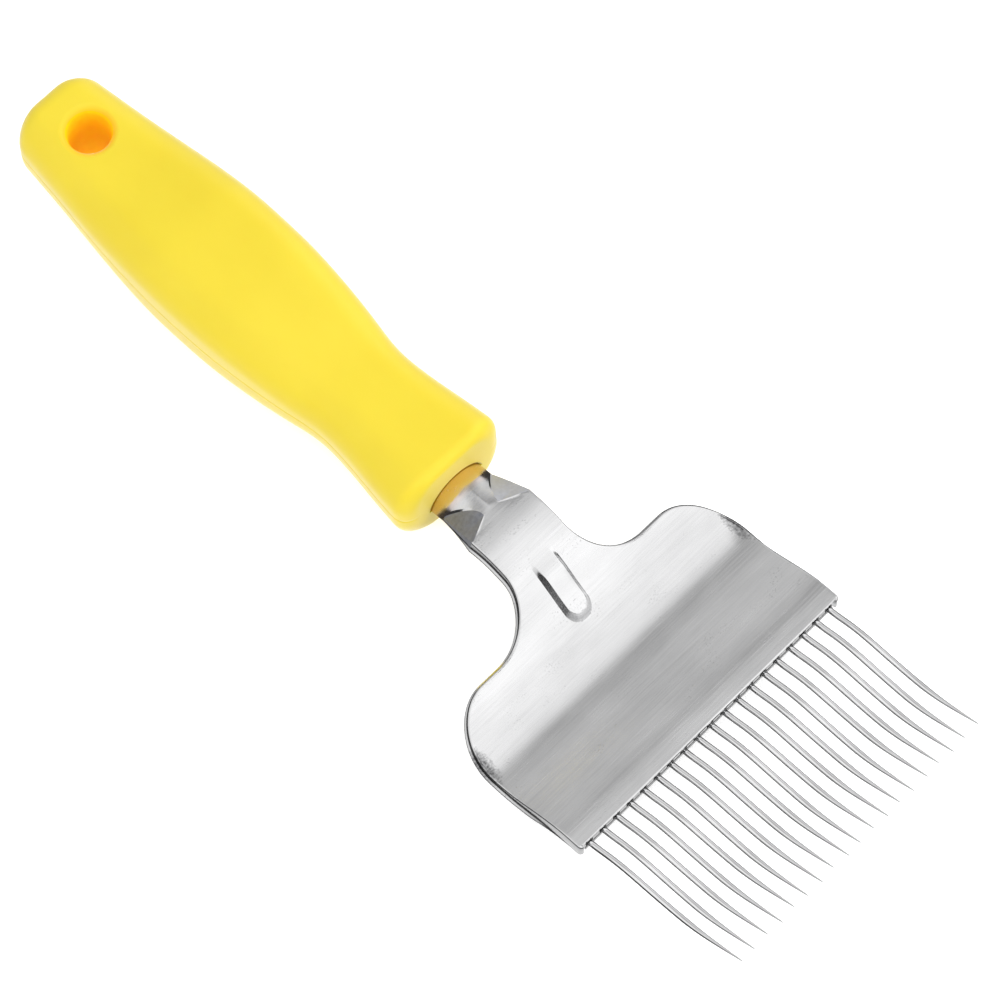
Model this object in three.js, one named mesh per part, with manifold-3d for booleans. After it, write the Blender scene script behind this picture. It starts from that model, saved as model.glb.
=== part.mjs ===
// Uncapping fork for honeycomb: a moulded plastic handle, a pressed steel head plate whose arched
// tang runs back inside the handle, nineteen cranked steel tines and the strip that clamps them.
// Millimetres. +X runs from the handle to the tine tips, +Y across, +Z up.
// The origin lies under the middle of the fork, on the surface that it rests on.

import * as THREE from 'three';
import { mergeVertices } from 'three/addons/utils/BufferGeometryUtils.js';
import Module from 'manifold-3d';

const wasm = await Module();
wasm.setup();

// ---- Driving dimensions -------------------------------------------------------------------------
// Lengths along X are measured from the tail of the handle.

const TOTAL_LENGTH = 223;
const CLEARANCE = 0.3;

const HANDLE_LENGTH = 116.6;
const HANDLE_MID_Z = 11.8;
const HANDLE_SIDE_ROUND = 7.5;
const HANDLE_TOP_ROUND = 8;
const HANDLE_TAIL_LEAN = 0.6;
const HANDLE_FRONT_LEAN = 1;
const HANDLE_LEAN_REACH = 12;
const HANGING_HOLE_X = 14;
const HANGING_HOLE_RADIUS = 4.6;
const HANGING_HOLE_LIP = 1.1;

const SHEET = 1;
const HEAD_FRONT_X = 184.9;
const HEAD_HALF_WIDTH = 35.7;
const NECK_HALF_WIDTH = 7.8;
const NECK_JOIN_X = 129;
const NECK_FILLET_LENGTH = 10.4;
const NECK_FILLET_DEPTH = 12.2;
const SHOULDER_X = 147.85;
const LOBE_CENTRE_X = 161.5;
const LOBE_DEPTH = 10.9;
const FRONT_CORNER = 1.6;
const FRONT_NOSE = 0.8;

const TANG_START_X = 56;
const TANG_WAIST_X = 88;
const TANG_RADIUS = 7.05;
const TANG_CROWN_Z = 15.4;
const TANG_HALF_ANGLE = 75 * Math.PI / 180;
const CRIMP_START_X = 119.5;
const CRIMP_MIDDLE_X = 126;
const CRIMP_END_X = 128.4;
const CRIMP_RIDGE_HALF_WIDTH = 2;

const RIB_START_X = 139;
const RIB_END_X = 152;
const RIB_HALF_WIDTH = 3.1;
const RIB_HEIGHT = 1.4;
const RIB_SINK = 0.4;
const RIB_RAMP = 5;

const TINE_COUNT = 19;
const TINE_PITCH = 3.685;
const TINE_TOE_IN = 0.983;
const TINE_RADIUS = 0.62;
const TINE_ROOT_X = 172.5;
const TINE_CRANK_END_X = 198;
const TINE_TAPER_START_X = 209;
const TINE_TIP_RADIUS = 0.12;

const STRIP_START_X = 171;
const STRIP_THICKNESS = 0.8;
const STRIP_HALF_WIDTH = HEAD_HALF_WIDTH - SHEET - CLEARANCE;

// ---- Side profiles ------------------------------------------------------------------------------

// A smooth curve y(x) through points given in order of x. It never overshoots: it is level at each
// highest and lowest point, and flat between equal ones.
function curveThrough(points) {
  const chords = points.slice(1).map((p, i) => (p[1] - points[i][1]) / (p[0] - points[i][0]));
  const slope = points.map((p, i) => {
    const before = chords[Math.max(i - 1, 0)];
    const after = chords[Math.min(i, chords.length - 1)];
    return before * after <= 0 ? 0 : 2 * before * after / (before + after);
  });
  return (x) => {
    let i = points.findIndex((p) => p[0] > x) - 1;
    if (i < 0) i = x < points[0][0] ? 0 : points.length - 2;
    const [x0, y0] = points[i];
    const [x1, y1] = points[i + 1];
    const width = x1 - x0;
    const t = THREE.MathUtils.clamp((x - x0) / width, 0, 1);
    const t2 = t * t;
    const t3 = t2 * t;
    return y0 * (2 * t3 - 3 * t2 + 1) + slope[i] * width * (t3 - 2 * t2 + t)
      + y1 * (3 * t2 - 2 * t3) + slope[i + 1] * width * (t3 - t2);
  };
}

// Top of the head: high at the neck, down a slope, through a shallow scoop and up to the front edge.
const headTop = curveThrough([[119, 15.45], [126, 15.9], [132, 16.1], [136, 15.4], [140, 13.6],
  [144, 10.4], [148, 6.6], [152, 4], [156, 2.7], [161, 2.1], [166, 2.9], [171, 5], [176, 7.4],
  [180, 8.7], [HEAD_FRONT_X, 9.1]]);

// Lower edge of the turned-down rim around the head.
const rimBottom = curveThrough([[119, 10], [125, 11.4], [132, 12.9], [140, 10.8], [148, 4.3],
  [156, 0.5], [161, 0], [166, 0.4], [171, 1.8], [176, 3.7], [181, 4.9], [HEAD_FRONT_X, 5.2]]);

// Half-width and half-thickness of the handle before its ends are rounded.
const handleHalfWidth = curveThrough([[0, 10.2], [4, 10.6], [17, 12.1], [28, 13.6], [40, 14.7],
  [50, 15.1], [60, 14.95], [70, 14.2], [81, 12.8], [91, 11.3], [99, 11.9], [107, 13],
  [HANDLE_LENGTH, 13.9]]);
const handleHalfThickness = curveThrough([[0, 9.9], [25, 9.9], [36, 10.9], [46, 11.8], [60, 11.8],
  [74, 11.1], [90, 9.8], [104, 10], [HANDLE_LENGTH, 10.3]]);

// Centre line of a tine: its root lies under the head plate, the middle is cranked level and the
// pointed end curves up.
const tineDepth = SHEET + CLEARANCE + TINE_RADIUS;
const tineFree = curveThrough([[HEAD_FRONT_X, 7.2], [187.5, 7.95], [191, 9.35], [195, 10.05],
  [201, 10.35], [208.5, 11.05], [213, 12.15], [218, 14.4], [TOTAL_LENGTH, 17.1]]);
const tineHeight = (x) => (x < HEAD_FRONT_X ? headTop(x) - tineDepth : tineFree(x));

// ---- Geometry helpers ---------------------------------------------------------------------------

function toSolid(geometry) {
  let g = geometry.clone();
  g.deleteAttribute('normal');
  g.deleteAttribute('uv');
  g = mergeVertices(g, 1e-5);
  const vertProperties = Float32Array.from(g.attributes.position.array);
  const triVerts = Uint32Array.from(g.index.array);
  return new wasm.Manifold(new wasm.Mesh({ numProp: 3, vertProperties, triVerts }));
}

function toGeometry(solid) {
  const mesh = solid.getMesh();
  const geometry = new THREE.BufferGeometry();
  geometry.setAttribute('position', new THREE.BufferAttribute(mesh.vertProperties, 3));
  geometry.setIndex(new THREE.BufferAttribute(mesh.triVerts, 1));
  geometry.computeVertexNormals();
  return geometry;
}

// A closed body through rings of points with the same count in each, capped at both ends.
function loft(rings) {
  const count = rings[0].length;
  const position = rings.flat().flatMap((p) => [p.x, p.y, p.z]);
  const index = [];
  for (let r = 0; r < rings.length - 1; r += 1) {
    for (let k = 0; k < count; k += 1) {
      const a = r * count + k;
      const b = r * count + (k + 1) % count;
      index.push(a, b, a + count, b, b + count, a + count);
    }
  }
  const capAt = (start, outline, flip) => {
    const faces = THREE.ShapeUtils.triangulateShape(outline.map((p) => new THREE.Vector2(p.y, p.z)), []);
    for (const [a, b, c] of faces) {
      if (flip) index.push(start + a, start + c, start + b);
      else index.push(start + a, start + b, start + c);
    }
  };
  capAt(0, rings[0], true);
  capAt((rings.length - 1) * count, rings[rings.length - 1], false);
  const geometry = new THREE.BufferGeometry();
  geometry.setAttribute('position', new THREE.Float32BufferAttribute(position, 3));
  geometry.setIndex(index);
  geometry.computeVertexNormals();
  return geometry;
}

const steps = (from, to, count) => Array.from({ length: count + 1 }, (_, i) => from + (to - from) * i / count);

// A body between two side profiles, extruded across the fork.
function slab(xs, top, bottom, halfWidth, shape = new THREE.Shape()) {
  xs.forEach((x, i) => (i === 0 ? shape.moveTo(x, bottom(x)) : shape.lineTo(x, bottom(x))));
  [...xs].reverse().forEach((x) => shape.lineTo(x, top(x)));
  const geometry = new THREE.ExtrudeGeometry(shape, { depth: 2 * halfWidth, bevelEnabled: false });
  geometry.rotateX(Math.PI / 2);
  geometry.translate(0, halfWidth, 0);
  return toSolid(geometry);
}

// A body with the given plan, standing from below the fork to above it.
function prism(shape, curveSegments = 10) {
  const geometry = new THREE.ExtrudeGeometry(shape, { depth: 40, bevelEnabled: false, curveSegments });
  geometry.translate(0, 0, -10);
  return toSolid(geometry);
}

function meshOf(name, geometry, material) {
  const mesh = new THREE.Mesh(geometry, material);
  mesh.name = name;
  return mesh;
}

// ---- Materials ----------------------------------------------------------------------------------

const yellowPlastic = () => new THREE.MeshStandardMaterial({ color: 0xfbe248, roughness: 0.45, metalness: 0 });
const brushedSteel = () => new THREE.MeshStandardMaterial({ color: 0xc9cacc, roughness: 0.3, metalness: 1 });
const polishedSteel = () => new THREE.MeshStandardMaterial({ color: 0xd6d7d8, roughness: 0.18, metalness: 1 });

// ---- Head plate ---------------------------------------------------------------------------------

// Half of the head's plan from the neck to the front, moved inwards by `inset`, then mirrored.
function headPlan(inset, frontX) {
  const half = NECK_HALF_WIDTH - inset;
  const filletX = SHOULDER_X - NECK_FILLET_LENGTH;
  const filletY = NECK_HALF_WIDTH + NECK_FILLET_DEPTH;
  const filletLength = NECK_FILLET_LENGTH + inset;
  const filletDepth = NECK_FILLET_DEPTH + inset;
  const shoulderX = SHOULDER_X + inset;
  const lobeX = LOBE_CENTRE_X - shoulderX;
  const lobeY = LOBE_DEPTH - inset;
  const lobeCentreY = HEAD_HALF_WIDTH - LOBE_DEPTH;
  const corner = FRONT_CORNER;
  const side = HEAD_HALF_WIDTH - inset;
  const shape = new THREE.Shape();
  shape.moveTo(NECK_JOIN_X, half);
  shape.lineTo(NECK_JOIN_X, -half);
  shape.lineTo(filletX, -half);
  shape.absellipse(filletX, -filletY, filletLength, filletDepth, Math.PI / 2, 0, true);
  shape.lineTo(shoulderX, -lobeCentreY);
  shape.absellipse(LOBE_CENTRE_X, -lobeCentreY, lobeX, lobeY, Math.PI, Math.PI * 1.5, false);
  shape.lineTo(frontX - corner, -side);
  shape.absarc(frontX - corner, -side + corner, corner, -Math.PI / 2, 0, false);
  shape.lineTo(frontX, side - corner);
  shape.absarc(frontX - corner, side - corner, corner, 0, Math.PI / 2, false);
  shape.lineTo(LOBE_CENTRE_X, side);
  shape.absellipse(LOBE_CENTRE_X, lobeCentreY, lobeX, lobeY, Math.PI / 2, Math.PI, false);
  shape.lineTo(shoulderX, filletY);
  shape.absellipse(filletX, filletY, filletLength, filletDepth, 0, -Math.PI / 2, true);
  return shape;
}

// The scooped plate with its turned-down rim, open below and at the front.
function scoopedPlate() {
  const xs = steps(NECK_JOIN_X, HEAD_FRONT_X, 36);
  const nose = (x) => {
    const d = Math.max(x - (HEAD_FRONT_X - FRONT_NOSE), 0);
    return headTop(x) - FRONT_NOSE + Math.sqrt(Math.max(FRONT_NOSE ** 2 - d ** 2, 0));
  };
  const noseXs = steps(HEAD_FRONT_X - FRONT_NOSE, HEAD_FRONT_X, 4);
  const bodyXs = [NECK_JOIN_X - 1, ...xs.filter((x) => x < HEAD_FRONT_X - 1), ...noseXs];
  const body = slab(bodyXs, nose, rimBottom, HEAD_HALF_WIDTH + 2);
  const hollowXs = [NECK_JOIN_X - 1, ...xs, HEAD_FRONT_X + 2];
  const hollow = slab(hollowXs, (x) => headTop(x) - SHEET, (x) => rimBottom(x) - 5, HEAD_HALF_WIDTH + 2);
  const outer = prism(headPlan(0, HEAD_FRONT_X)).intersect(body);
  const inner = prism(headPlan(SHEET, HEAD_FRONT_X + 4)).intersect(hollow);
  return outer.subtract(inner);
}

function stadium(x0, x1, radius) {
  const shape = new THREE.Shape();
  shape.absarc(x1 - radius, 0, radius, -Math.PI / 2, Math.PI / 2, false);
  shape.absarc(x0 + radius, 0, radius, Math.PI / 2, Math.PI * 1.5, false);
  return shape;
}

// The pressed rib: raised above the slope, hollow below, running out towards the neck.
function ribSolids() {
  const xs = steps(RIB_START_X - 1, RIB_END_X + 1, 16);
  const ramp = (x) => THREE.MathUtils.smoothstep(x, RIB_START_X, RIB_START_X + RIB_RAMP);
  const rise = (x) => (RIB_HEIGHT + RIB_SINK) * ramp(x) - RIB_SINK;
  const top = (x) => headTop(x) + rise(x);
  const raised = slab(xs, top, (x) => headTop(x) - SHEET / 2, RIB_HALF_WIDTH + 2);
  const below = slab(xs, (x) => top(x) - SHEET - 0.05, (x) => headTop(x) - 2 * SHEET, RIB_HALF_WIDTH + 2);
  const press = SHEET * 0.8;
  return {
    raised: prism(stadium(RIB_START_X, RIB_END_X, RIB_HALF_WIDTH)).intersect(raised),
    below: prism(stadium(RIB_START_X + press, RIB_END_X - press, RIB_HALF_WIDTH - press)).intersect(below),
  };
}

// Offsets an open line of [y, z] points inwards by the sheet's thickness, with mitred corners.
function offsetLine(line, distance) {
  return line.map((p, i) => {
    const before = line[Math.max(i - 1, 0)];
    const after = line[Math.min(i + 1, line.length - 1)];
    const direction = (a, b) => new THREE.Vector2(b[0] - a[0], b[1] - a[1]).normalize();
    const d0 = i === 0 ? direction(p, after) : direction(before, p);
    const d1 = i === line.length - 1 ? direction(before, p) : direction(p, after);
    const normal = new THREE.Vector2(d0.y + d1.y, -d0.x - d1.x).normalize();
    const stretch = Math.min(1 / normal.dot(new THREE.Vector2(d0.y, -d0.x)), 1.6);
    return [p[0] + normal.x * distance * stretch, p[1] + normal.y * distance * stretch];
  });
}

// Right half of the tang's section at x, from its crown to its lower edge, as [y, z] points:
// an arch inside the handle, and past the crimp a flat top with a turned-down rim. Between the
// two, a flat facet on each side falls from the ridge to the edge.
function tangSection(x) {
  const arch = (angle) => [TANG_RADIUS * Math.sin(angle), TANG_CROWN_Z - TANG_RADIUS * (1 - Math.cos(angle))];
  const creaseStart = arch(TANG_HALF_ANGLE * 0.84);
  const edgeStart = arch(TANG_HALF_ANGLE * 0.92);
  const lowerStart = arch(TANG_HALF_ANGLE);
  const opening = THREE.MathUtils.clamp((x - CRIMP_START_X) / (CRIMP_END_X - CRIMP_START_X), 0, 1);
  const narrowing = THREE.MathUtils.clamp((x - CRIMP_START_X) / (CRIMP_MIDDLE_X - CRIMP_START_X), 0, 1);
  const widening = THREE.MathUtils.clamp((x - CRIMP_MIDDLE_X) / (CRIMP_END_X - CRIMP_MIDDLE_X), 0, 1);
  const flatEnd = [NECK_HALF_WIDTH, headTop(Math.max(x, CRIMP_END_X))];
  const mix = (a, b, t) => [a[0] + (b[0] - a[0]) * t, a[1] + (b[1] - a[1]) * t];
  const edge = mix(edgeStart, flatEnd, opening);
  const ridge = [CRIMP_RIDGE_HALF_WIDTH, headTop(CRIMP_MIDDLE_X)];
  const crease = widening > 0
    ? mix(ridge, [NECK_HALF_WIDTH * 0.7, flatEnd[1]], widening)
    : mix(creaseStart, ridge, narrowing);
  const lower = mix(lowerStart, [NECK_HALF_WIDTH, rimBottom(Math.max(x, CRIMP_END_X))], opening);
  const crown = mix([0, TANG_CROWN_Z], [0, headTop(Math.max(x, CRIMP_MIDDLE_X))], narrowing);
  const bulge = (1 - opening) * (1 - narrowing * 0.6);
  const topPoints = steps(0, 1, 6).map((t) => {
    const straight = mix(crown, crease, t);
    const round = arch(Math.asin(Math.min(crease[0] / TANG_RADIUS, 1)) * t);
    return x <= CRIMP_START_X ? round : mix(straight, [round[0], round[1] + crown[1] - TANG_CROWN_Z], bulge);
  });
  topPoints[topPoints.length - 1] = crease;
  return [...topPoints, edge, lower];
}

function tangRing(x, inflate = 0) {
  const half = tangSection(x);
  const outer = [...half.slice(1).reverse().map(([y, z]) => [-y, z]), ...half];
  const line = inflate ? offsetLine(outer, -inflate) : outer;
  const inside = offsetLine(outer, SHEET + inflate);
  return [...line, ...inside.reverse()].map(([y, z]) => new THREE.Vector3(x, y, z));
}

const tangStations = [TANG_START_X, TANG_WAIST_X, HANDLE_LENGTH, ...steps(CRIMP_START_X, CRIMP_MIDDLE_X, 4),
  (CRIMP_MIDDLE_X + CRIMP_END_X) / 2, CRIMP_END_X, NECK_JOIN_X];

function headPlate() {
  const rib = ribSolids();
  const tang = toSolid(loft(tangStations.map((x) => tangRing(x).reverse())));
  return toGeometry(scoopedPlate().add(tang).add(rib.raised).subtract(rib.below));
}

// ---- Handle -------------------------------------------------------------------------------------

// Quarter-ellipse roll-off near one end of the handle.
const rollOff = (distance, length, depth) => (distance >= length
  ? 0 : depth * (1 - Math.sqrt(1 - ((length - distance) / length) ** 2)));

// One ring around the handle. At both ends the top is drawn in a little further than the bottom.
function handleRing(x) {
  const fromTail = x;
  const fromFront = HANDLE_LENGTH - x;
  const halfWidth = handleHalfWidth(x) - rollOff(fromTail, 5.2, 5.2) - rollOff(fromFront, 3.8, 4.2);
  const halfThickness = handleHalfThickness(x) - rollOff(fromTail, 4, 3.6) - rollOff(fromFront, 2.6, 2.4);
  const ry = Math.min(HANDLE_SIDE_ROUND, halfWidth * 0.6);
  const rz = Math.min(HANDLE_TOP_ROUND, halfThickness * 0.85);
  const nearness = (distance) => 1 - THREE.MathUtils.smoothstep(distance, 0, HANDLE_LEAN_REACH);
  const lean = HANDLE_TAIL_LEAN * nearness(fromTail) - HANDLE_FRONT_LEAN * nearness(fromFront);
  const ring = [];
  for (const [sy, sz, start] of [[1, 1, 0], [-1, 1, 1], [-1, -1, 2], [1, -1, 3]]) {
    for (const angle of steps(start * Math.PI / 2, (start + 1) * Math.PI / 2, 7)) {
      const y = sy * (halfWidth - ry) + ry * Math.cos(angle);
      const z = HANDLE_MID_Z + sz * (halfThickness - rz) + rz * Math.sin(angle);
      const height = 0.5 + (z - HANDLE_MID_Z) / (2 * halfThickness);
      ring.push(new THREE.Vector3(x + lean * height, y, z));
    }
  }
  return ring;
}

// The cutter for the hanging hole: a bore whose rim flares out in a quarter-round at both faces.
function hangingHoleCutter() {
  const r = HANGING_HOLE_RADIUS;
  const lip = HANGING_HOLE_LIP;
  const face = handleHalfThickness(HANGING_HOLE_X) + 0.02;
  const flare = steps(0, Math.PI / 2, 4)
    .map((angle) => [r + lip * (1 - Math.cos(angle)), face - lip + lip * Math.sin(angle)]);
  const upper = [...flare, [r + lip, face + 4], [0, face + 4]];
  const lower = upper.map(([radius, z]) => [radius, -z]).reverse();
  const profile = [...lower, ...upper].map(([radius, z]) => new THREE.Vector2(radius, z));
  const geometry = new THREE.LatheGeometry(profile, 28);
  geometry.rotateX(Math.PI / 2);
  geometry.translate(HANGING_HOLE_X, 0, HANDLE_MID_Z);
  return toSolid(geometry);
}

function handle() {
  const tailEnd = [0, 0.25, 0.9, 2, 3.4, 5, 6.5];
  const frontEnd = [4, 3, 2, 1.1, 0.4, 0.1, 0].map((fromFront) => HANDLE_LENGTH - fromFront);
  const body = toSolid(loft([...tailEnd, ...steps(11, 109, 20), ...frontEnd].map(handleRing)));
  const slotStations = [TANG_START_X - CLEARANCE, TANG_WAIST_X, HANDLE_LENGTH + 2];
  const slot = toSolid(loft(slotStations.map((x) => tangRing(x, CLEARANCE).reverse())));
  return toGeometry(body.subtract(hangingHoleCutter()).subtract(slot));
}

// ---- Tines --------------------------------------------------------------------------------------

const tineOffset = (i) => (i - (TINE_COUNT - 1) / 2) * TINE_PITCH;

// Beyond the head the tines draw together a little, down to TINE_TOE_IN of their pitch at the tips.
const toeIn = (x) => THREE.MathUtils.lerp(1, TINE_TOE_IN,
  THREE.MathUtils.clamp((x - HEAD_FRONT_X) / (TOTAL_LENGTH - HEAD_FRONT_X), 0, 1));

function tineRing(x, sides = 8) {
  const step = 0.05;
  const slope = (tineHeight(x + step) - tineHeight(x - step)) / (2 * step);
  const along = new THREE.Vector3(1, 0, slope).normalize();
  const up = new THREE.Vector3(-along.z, 0, along.x);
  const taper = THREE.MathUtils.clamp((x - TINE_TAPER_START_X) / (TOTAL_LENGTH - TINE_TAPER_START_X), 0, 1);
  const radius = TINE_RADIUS + (TINE_TIP_RADIUS - TINE_RADIUS) * taper ** 1.3;
  const centre = new THREE.Vector3(x, 0, tineHeight(x));
  return steps(0, 2 * Math.PI, sides).slice(0, sides).map((angle) => centre.clone()
    .add(new THREE.Vector3(0, radius * Math.cos(angle), 0))
    .addScaledVector(up, radius * Math.sin(angle)));
}

function tine(i) {
  const xs = [...steps(TINE_ROOT_X, HEAD_FRONT_X - 1, 4), ...steps(HEAD_FRONT_X + 1.6, TINE_CRANK_END_X, 6),
    ...steps(TINE_CRANK_END_X + 4, TINE_TAPER_START_X, 2), ...steps(TINE_TAPER_START_X + 2.5, TOTAL_LENGTH, 5)];
  const rings = xs.map((x) => {
    const sideways = new THREE.Vector3(0, tineOffset(i) * toeIn(x), 0);
    return tineRing(x).map((point) => point.add(sideways));
  });
  return loft(rings);
}

// ---- Clamp strip --------------------------------------------------------------------------------

// The strip under the roots of the tines. Its front edge is turned up and slotted for each tine.
function clampStrip() {
  const topOfStrip = (x) => headTop(x) - tineDepth - TINE_RADIUS - CLEARANCE;
  const bottomOfStrip = (x) => topOfStrip(x) - STRIP_THICKNESS;
  const strip = slab(steps(STRIP_START_X, HEAD_FRONT_X - 0.2, 10), topOfStrip, bottomOfStrip, STRIP_HALF_WIDTH);
  const wallTop = (x) => headTop(x) - SHEET - CLEARANCE;
  const wallXs = steps(HEAD_FRONT_X - 1.1, HEAD_FRONT_X - 0.2, 2);
  const wall = slab(wallXs, wallTop, (x) => topOfStrip(x) - 0.4, STRIP_HALF_WIDTH);
  const slotHalfWidth = TINE_RADIUS + CLEARANCE;
  let comb = strip.add(wall);
  for (let i = 0; i < TINE_COUNT; i += 1) {
    const slot = new THREE.BoxGeometry(3, 2 * slotHalfWidth, 6);
    const z = tineHeight(HEAD_FRONT_X - 0.6) - slotHalfWidth + 3;
    slot.translate(HEAD_FRONT_X - 0.6, tineOffset(i), z);
    comb = comb.subtract(toSolid(slot));
  }
  return toGeometry(comb);
}

// ---- Assembly -----------------------------------------------------------------------------------

const fork = new THREE.Group();
fork.add(meshOf('handle', handle(), yellowPlastic()));

const head = new THREE.Group();
head.add(meshOf('head_plate', headPlate(), brushedSteel()));
head.add(meshOf('tine_clamp_strip', clampStrip(), brushedSteel()));
for (let i = 0; i < TINE_COUNT; i += 1) {
  const number = String(i + 1).padStart(2, '0');
  head.add(meshOf(`tine_${number}`, tine(i), polishedSteel()));
}
fork.add(head);
fork.position.x = -TOTAL_LENGTH / 2;

export default fork;
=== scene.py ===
"""Uncapping fork: fine meshes, materials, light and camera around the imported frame.

Lengths in this script are millimetres, X counted from the tail of the handle, as the part is
drawn. place() turns them into the frame's metres. +X points to the tine tips, +Z up.
"""

import math

import bmesh
import bpy
import numpy as np
from mathutils import Matrix, Vector


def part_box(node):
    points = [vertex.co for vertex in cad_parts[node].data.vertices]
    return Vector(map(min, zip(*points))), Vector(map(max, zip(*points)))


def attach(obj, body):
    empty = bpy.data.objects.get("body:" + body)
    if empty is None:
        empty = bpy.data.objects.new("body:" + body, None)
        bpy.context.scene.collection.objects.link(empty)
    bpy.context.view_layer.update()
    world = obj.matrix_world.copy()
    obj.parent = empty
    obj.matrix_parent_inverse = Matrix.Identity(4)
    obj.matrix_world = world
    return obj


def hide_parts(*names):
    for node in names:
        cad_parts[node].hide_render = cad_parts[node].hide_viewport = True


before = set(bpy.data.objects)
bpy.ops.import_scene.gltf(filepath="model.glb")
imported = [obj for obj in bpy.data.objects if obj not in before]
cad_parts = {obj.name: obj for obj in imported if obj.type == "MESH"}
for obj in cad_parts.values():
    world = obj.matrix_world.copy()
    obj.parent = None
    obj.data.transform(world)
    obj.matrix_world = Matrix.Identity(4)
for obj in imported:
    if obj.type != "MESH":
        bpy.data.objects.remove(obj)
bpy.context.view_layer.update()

MM = 0.001
BODY = "root"

# ---- Sizes taken from the frame -----------------------------------------------------------------

handle_low, handle_high = (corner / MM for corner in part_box("handle"))
plate_low, plate_high = (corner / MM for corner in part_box("head_plate"))
tine_low, tine_high = (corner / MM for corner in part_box("tine_01"))
strip_low, strip_high = (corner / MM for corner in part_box("tine_clamp_strip"))

TAIL = handle_low.x
HANDLE_LENGTH = handle_high.x - TAIL
HANDLE_MID_Z = (handle_low.z + handle_high.z) / 2
HANDLE_HALF_WIDTH = handle_high.y
HEAD_FRONT = plate_high.x - TAIL
HEAD_HALF_WIDTH = plate_high.y
TANG_START = plate_low.x - TAIL
NECK_TOP = plate_high.z
TIP_X = tine_high.x - TAIL
STRIP_START = strip_low.x - TAIL
STRIP_HALF_WIDTH = strip_high.y
TINE_NAMES = sorted(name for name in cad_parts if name.startswith("tine_") and name[-1].isdigit())

# A tine's root is cut square to its slope, so its box starts just behind the root's centre. The
# centre lies on a whole half millimetre.
TINE_ROOT = math.ceil((tine_low.x - TAIL) * 2) / 2

# ---- Sheet and gaps -----------------------------------------------------------------------------

# The visible sheet is thinner than the CAD one. Pieces that don't touch are CLEARANCE apart.
SHEET = 0.8
CAD_SHEET = 1.0
CLEARANCE = 0.3

# ---- Handle sizes -------------------------------------------------------------------------------

# Radii of the long corners, and the most that they may take of the half width and half thickness.
SIDE_ROUND = 7.5
TOP_ROUND = 8
SIDE_ROUND_SHARE = 0.6
TOP_ROUND_SHARE = 0.85

# How the ends round off: a length along the handle and a depth, at its sides and at its faces.
TAIL_SIDES = (5.2, 5.2)
TAIL_FACES = (4, 3.6)
FRONT_SIDES = (3.8, 4.2)
FRONT_FACES = (2.6, 2.4)

# How far the upper edge of each end is shifted towards the tine tips.
TAIL_LEAN = 0.6
FRONT_LEAN = -1
LEAN_REACH = 12

# The parting line along each side: heights, and how deep the groove is there.
PARTING_GROOVE = [(-0.7, 0), (-0.22, 0), (-0.08, 0.1), (0.08, 0.1), (0.22, 0), (0.7, 0)]

HOLE_X = 13.75
HOLE_RADIUS = 4.5
HOLE_LIP = 1.7
BORE_EDGE = HOLE_RADIUS + 0.3
# Painted glow: the orange of light that soaks through the plastic round the hanging hole.
BORE_GLOW_COLOUR = (0.94, 0.53, 0.007)

# The slot for the tang: its clearance, and how it opens at the mouth, as distances and clearances.
SLOT_CLEARANCE = 0.15
SLOT_MOUTH = HANDLE_LENGTH - 1
SLOT_OPENING = [(0, 0.15), (0.4, 0.32), (0.8, 0.45), (3, 0.9)]

# ---- Head plate sizes ---------------------------------------------------------------------------

NECK_HALF_WIDTH = 7.8
FILLET_LENGTH = 10.4
FILLET_DEPTH = 12.2
SHOULDER_X = 147.85
LOBE_CENTRE_X = 161.5
LOBE_DEPTH = 10.9
FRONT_CORNER = 0.7
CORNER_TURN = math.radians(75)

# Sections that meet the outline on the fillet and shoulder spread over this much of the centre line.
FILLET_SPREAD = 8.6
SHOULDER_SPREAD = 2.6

# The dents that drawing the rim leaves inside the rear corners of the scoop, and the painted shade on them.
PUCKER_X = 158.4
PUCKER_INSET = 1.1
PUCKER_LENGTH = 3.6
PUCKER_WIDTH = 1.2
PUCKER_DEPTH = 0.35
SHADE_INSET = 0.2
SHADE_LENGTH = 4.6
SHADE_WIDTH = 2.1

# The rim bends down from the plate, runs down as a wall and flares at its foot.
RIM_BEND = 0.4
RIM_OUTSET = 0.2
RIM_FLARE = 0.5
RIM_WALL_MIN = 0.03
FLARE_HEADING = math.radians(-20)
FLARE_FADE = 0.85
FLARE_FADE_LENGTH = 14

# The tang is an arch whose crown dips at the mouth of the handle. The crimp opens it out.
TANG_RADIUS = 7.05
TANG_CROWN_Z = 15.4
TANG_DIP_START = 98
TANG_DIP_X = 114
TANG_DIP_Z = 14.3
TANG_ANGLE = math.radians(75)
CRIMP_START = 119.5
CRIMP_MIDDLE = 126
CRIMP_END = 128.4
CRIMP_RIDGE = 2
CRIMP_FLATTENING = 0.6

# Where the lines of the crease and of the rim's bend lie on the arch, as shares of its half angle.
ARCH_CREASE = 0.84
ARCH_BEND = 0.92

RIB_START = 138.3
RIB_END = 152
RIB_HALF_WIDTH = 3.1
RIB_HOLLOW_HALF_WIDTH = RIB_HALF_WIDTH - 0.5
RIB_HEIGHT = 1.75
RIB_WALL = 0.85
RIB_WALL_EASE = 0.2
RIB_CROWN = 1.7
RIB_CROWN_DROP = 0.45
RIB_CROWN_POWER = 1.6
RIB_RAMP = 5.5

# The lines along the plate: out to the crease, across the facet, where they draw together towards
# the rim, and then round the bend, the flare and the lip.
CREASE_Y = NECK_HALF_WIDTH * 0.93
RIB_YS = [0, 0.6, *np.arange(1, 3.35, 0.1), 3.6, 4.1, 4.8, 5.6, 6.4, CREASE_Y]
FACET_STEPS = 18
FACET_FRACTIONS = [1 - (1 - t) ** 1.8 for t in np.linspace(0, 1, FACET_STEPS + 1)[1:-1]]
BEND_STEPS = 6
FLARE_STEPS = 5
LIP_STEPS = 4

# ---- Tine and clamp strip sizes -----------------------------------------------------------------

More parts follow.
